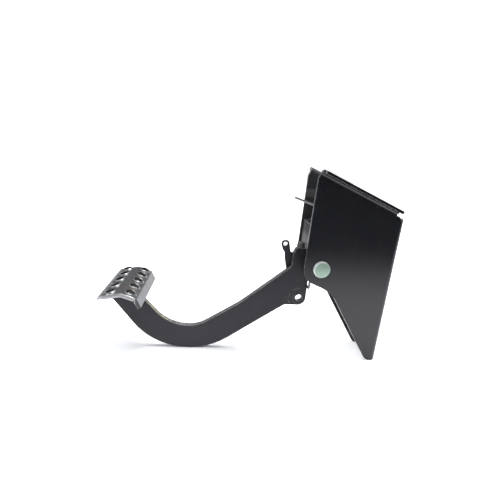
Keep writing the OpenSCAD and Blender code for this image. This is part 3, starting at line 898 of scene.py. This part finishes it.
def wire_line(settings):
    """From the tip of the upper leg round the hub to the hook on the arm."""
    radius, turns, height = settings.coil_radius / MM, settings.turns, 64.3
    first_y, last_y = -15.292, -6.9
    upper = rounded_path(
        [
            Vector((-22.141, 38.0, height)),
            Vector((-radius - 0.4, first_y, height)),
            Vector((-radius, first_y, 0.0)),
        ],
        (0, 4, 0),
    )
    steps = round(turns * 48)
    coil = []
    for s in range(1, steps + 1):
        turn = math.pi + s * turns * 2 * math.pi / steps
        y = first_y + s * (last_y - first_y) / steps
        coil.append(Vector((radius * math.cos(turn), y, radius * math.sin(turn))))
    last = coil[-1]
    lower = rounded_path(
        [
            last,
            last + Vector((1.6, 0.0, -1.1)),
            Vector((-5.75, -6.0, -20.0)),
            Vector((-5.75, -6.0, -28.2)),
            Vector((-5.75, 4.0, -28.2)),
        ],
        (0, 1.8, 6, 1.8, 0),
    )
    return [tuple(point) for point in upper + coil + lower[1:]]


def bar_line(start, end):
    return [start, end]


def under_pad(side):
    """The line of the bead under the pad's front face on one side of the arm."""
    slope = math.radians(11.8)
    crown_x, crown_z = PAD_CORNERS[2]
    line = []
    for along in (-18.6, -8.8):
        x = crown_x + along * math.cos(slope) + 2.75 * math.sin(slope)
        z = crown_z + along * math.sin(slope) - 2.75 * math.cos(slope)
        line.append((x, side * 3.75, z))
    return line


# The stage


def look_from(camera, eye, right, up, ahead):
    camera.matrix_world = Matrix(
        (
            (right[0], up[0], -ahead[0], eye[0]),
            (right[1], up[1], -ahead[1], eye[1]),
            (right[2], up[2], -ahead[2], eye[2]),
            (0.0, 0.0, 0.0, 1.0),
        )
    )


def area_lamp(name, place, target, size, power):
    lamp = bpy.data.lights.new(name, "AREA")
    lamp.shape = "RECTANGLE"
    lamp.size, lamp.size_y = size
    lamp.energy = power
    obj = bpy.data.objects.new(name, lamp)
    bpy.context.scene.collection.objects.link(obj)
    obj.location = place
    obj.rotation_euler = (Vector(target) - Vector(place)).to_track_quat("-Z", "Y").to_euler()
    return obj


def paper(space):
    """A white floor: it glows towards its far parts and turns dark in reflections there."""
    x, y, _ = axes(space)
    away = (x * x + y * y) ** 0.5
    seen = space.new("ShaderNodeLightPath", out="Is Camera Ray")
    mirrored = space.new("ShaderNodeLightPath", out="Is Glossy Ray")
    front = y.maths("MULTIPLY", y, -1.0)
    dim = mirrored.mixed((0.92, 0.92, 0.92), (0.8, 0.79, 0.83))
    dim = (mirrored * front.band(0.16, 0.5)).mixed(dim, (0.03, 0.032, 0.04))
    near = front.band(0.16, 0.5, 0.16, 0.0) * mirrored
    bend = ((x - BEND_X) ** 2.0 + y ** 2.0) ** 0.5
    glow = seen * away.band(0.22, 0.4, bend.band(0.05, 0.085, 0.0, 0.45), 1.0) + near
    glow = glow.mixed((0.0, 0.0, 0.0), (0.95, 0.965, 1.0))
    return surface(space, dim, 0.9, emission_color=glow, emission_strength=1.0)


def stage_setup(settings):
    scene = bpy.context.scene
    bpy.ops.mesh.primitive_plane_add(size=6.0, location=(0.0, 0.0, 0.0))
    floor = bpy.context.active_object
    floor.name = "floor"
    floor.data.materials.append(material("paper", paper))

    world = bpy.data.worlds.new("studio")
    scene.world = world
    world.use_nodes = True
    tree = world.node_tree
    tree.nodes.clear()
    field = Field(tree)
    seen = field.new("ShaderNodeLightPath", out="Is Camera Ray")
    mirrored = field.new("ShaderNodeLightPath", out="Is Glossy Ray")
    ahead = axes(field.new("ShaderNodeTexCoord", out="Generated"))[1]
    sky = (mirrored * ahead.band(-0.7, 0.1, 1.0, 0.0)).mixed((0.4, 0.415, 0.45), (0.02, 0.02, 0.025))
    back = field.new(
        "ShaderNodeBackground",
        {},
        {"Color": seen.mixed(sky, (1.0, 1.0, 1.0)), "Strength": 1.0},
    )
    field.new("ShaderNodeOutputWorld", {}, {"Surface": back})
    area_lamp("top_light", (0.2, 0.06, 1.1), (0.0, 0.0, 0.05), (0.6, 0.6), settings.top_power)
    area_lamp("side_light", (-0.9, -0.6, 0.7), (0.0, 0.0, 0.08), (0.5, 0.5), settings.side_power)
    area_lamp("back_light", (0.5, 1.2, 0.22), (-0.1, 0.0, 0.07), (0.6, 0.3), settings.back_power)

    lens = bpy.data.cameras.new("camera")
    camera = bpy.data.objects.new("camera", lens)
    scene.collection.objects.link(camera)
    lens.sensor_width = 36.0
    lens.lens = 23.76
    lens.clip_start = 0.01
    look_from(
        camera,
        PIVOT + Vector((-0.111232, -0.333070, 0.108699)),
        (0.99250, -0.08758, 0.08527),
        (-0.05666, 0.28851, 0.95580),
        (0.10831, 0.95346, -0.28139),
    )
    scene.camera = camera
    scene.view_settings.view_transform = "Standard"


# Settings


class RoundingSettings(bpy.types.PropertyGroup):
    width: FloatProperty(
        name="Edge rounding",
        description="Radius of the rounding on sheared and cut edges",
        default=0.00035,
        unit="LENGTH",
    )
    segments: IntProperty(
        name="Segments", description="Faces across each rounded edge", default=2, min=1, max=4
    )
    angle: FloatProperty(
        name="Sharp from",
        description="Edges that turn more than this are rounded",
        default=math.radians(30.0),
        subtype="ANGLE",
    )


class PadSettings(bpy.types.PropertyGroup):
    pitch: FloatProperty(
        name="Hole pitch",
        description="Distance between the collars of a row",
        default=0.016,
        unit="LENGTH",
    )


class WireSettings(bpy.types.PropertyGroup):
    radius: FloatProperty(
        name="Wire radius", description="Radius of the wire", default=0.0012, unit="LENGTH"
    )
    coil_radius: FloatProperty(
        name="Coil radius",
        description="From the pin's axis to the middle of the wire",
        default=0.0129,
        unit="LENGTH",
    )
    turns: FloatProperty(name="Turns", description="Turns of the coil", default=3.16667)


class BeadSettings(bpy.types.PropertyGroup):
    ripple: FloatProperty(
        name="Ripple", description="Height of the ripples against the bead", default=0.08
    )
    pitch: FloatProperty(
        name="Ripple pitch",
        description="Distance between two ripples",
        default=0.0011,
        unit="LENGTH",
    )
    seed: IntProperty(name="Seed", description="Start of the bead's unevenness", default=7)


class StageSettings(bpy.types.PropertyGroup):
    top_power: FloatProperty(
        name="Top light", description="Power of the wide light above", default=16.0, unit="POWER"
    )
    side_power: FloatProperty(
        name="Side light", description="Power of the light on the left", default=4.0, unit="POWER"
    )
    back_power: FloatProperty(
        name="Back light", description="Power of the low light behind", default=1.6, unit="POWER"
    )


SETTINGS = {
    "pedal_rounding": RoundingSettings,
    "pedal_pad": PadSettings,
    "pedal_wire": WireSettings,
    "pedal_beads": BeadSettings,
    "pedal_stage": StageSettings,
}


# Operators


class PEDAL_OT_add_bracket(bpy.types.Operator):
    """Add the folded bracket with its stop angle and welds"""

    bl_idname = "pedal.add_bracket"
    bl_label = "Bracket"

    def execute(self, context):
        scene = context.scene
        rounded_piece("bracket", scene.pedal_rounding)
        stop = rounded_piece("stop_plate", scene.pedal_rounding)
        stop.data.materials[0] = finish("stop_paint")
        upright = bar_line((-1.1, 16.25, 20.4), (-1.1, 16.25, 41.8))
        over = bar_line((-8.3, 16.25, 45.2), (-2.6, 16.25, 45.2))
        bead("stop_welds", scene.pedal_beads, [upright, over], 2.5, 1.0 * scene.pedal_beads.seed)
        return {"FINISHED"}


class PEDAL_OT_add_pivot(bpy.types.Operator):
    """Add the pivot pin with its washer and clip"""

    bl_idname = "pedal.add_pivot"
    bl_label = "Pivot pin"

    def execute(self, context):
        rounding = context.scene.pedal_rounding
        rounded_piece("pivot_pin", rounding, 0.00012)
        rounded_piece("pin_washer", rounding, 0.00018)
        rounded_piece("pin_circlip", rounding, 0.0001)
        return {"FINISHED"}


class PEDAL_OT_add_arm(bpy.types.Operator):
    """Add the arm with its hub, bushes, stop button and switch tab"""

    bl_idname = "pedal.add_arm"
    bl_label = "Arm"

    def execute(self, context):
        scene = context.scene
        rounding, beads = scene.pedal_rounding, scene.pedal_beads
        rounded_piece("arm", rounding)
        rounded_piece("hub_tube", rounding, 0.00025)
        rounded_piece("bush_near", rounding, 0.00012)
        rounded_piece("bush_far", rounding, 0.00012)
        rounded_piece("stop_button", rounding, 0.0002)
        rounded_piece("switch_tab", rounding, 0.0002)
        bead("hub_weld_near", beads, [ring_line(11.75, -3.75)], 2.5, 2.0 * beads.seed)
        bead("hub_weld_far", beads, [ring_line(11.75, 3.75)], 2.5, 3.0 * beads.seed)
        foot = bar_line((-33.0, 3.48, -11.78), (-23.6, 3.48, -11.78))
        bead("tab_weld", beads, [foot], 1.6, 4.0 * beads.seed)
        return {"FINISHED"}


class PEDAL_OT_add_pad(bpy.types.Operator):
    """Add the foot pad with its rows of collars and the welds under it"""

    bl_idname = "pedal.add_pad"
    bl_label = "Pad"

    def execute(self, context):
        scene = context.scene
        finished_pad(scene.pedal_pad)
        beads = scene.pedal_beads
        bead("pad_weld_near", beads, [under_pad(-1)], 2.5, 5.0 * beads.seed)
        bead("pad_weld_far", beads, [under_pad(1)], 2.5, 6.0 * beads.seed)
        return {"FINISHED"}


class PEDAL_OT_add_spring(bpy.types.Operator):
    """Add the return spring"""

    bl_idname = "pedal.add_spring"
    bl_label = "Return spring"

    def execute(self, context):
        wire = context.scene.pedal_wire
        swept("return_spring", [wire_line(wire)], wire.radius, 0.0006, 20)
        return {"FINISHED"}


class PEDAL_OT_add_stage(bpy.types.Operator):
    """Add the floor, the lights and the camera"""

    bl_idname = "pedal.add_stage"
    bl_label = "Stage"

    def execute(self, context):
        stage_setup(context.scene.pedal_stage)
        return {"FINISHED"}


OPERATORS = (
    PEDAL_OT_add_bracket,
    PEDAL_OT_add_pivot,
    PEDAL_OT_add_arm,
    PEDAL_OT_add_pad,
    PEDAL_OT_add_spring,
    PEDAL_OT_add_stage,
)


class PEDAL_PT_panel(bpy.types.Panel):
    """Lists the pieces of the pedal and their settings"""

    bl_label = "Brake Pedal"
    bl_idname = "PEDAL_PT_panel"
    bl_space_type = "VIEW_3D"
    bl_region_type = "UI"
    bl_category = "Brake Pedal"

    def draw(self, context):
        layout = self.layout
        for operator in OPERATORS:
            layout.operator(operator.bl_idname)
        for name, group in SETTINGS.items():
            box = layout.box()
            for prop in group.__annotations__:
                box.prop(getattr(context.scene, name), prop)


def register():
    for group in SETTINGS.values():
        bpy.utils.register_class(group)
    for name, group in SETTINGS.items():
        setattr(bpy.types.Scene, name, PointerProperty(type=group))
    for operator in OPERATORS:
        bpy.utils.register_class(operator)
    bpy.utils.register_class(PEDAL_PT_panel)


def unregister():
    bpy.utils.unregister_class(PEDAL_PT_panel)
    for operator in reversed(OPERATORS):
        bpy.utils.unregister_class(operator)
    for name in SETTINGS:
        delattr(bpy.types.Scene, name)
    for group in SETTINGS.values():
        bpy.utils.unregister_class(group)


def main():
    register()
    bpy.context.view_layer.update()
    bpy.ops.pedal.add_bracket()
    bpy.ops.pedal.add_pivot()
    bpy.ops.pedal.add_arm()
    bpy.ops.pedal.add_pad()
    bpy.ops.pedal.add_spring()
    bpy.ops.pedal.add_stage()


if __name__ == "__main__":
    main()
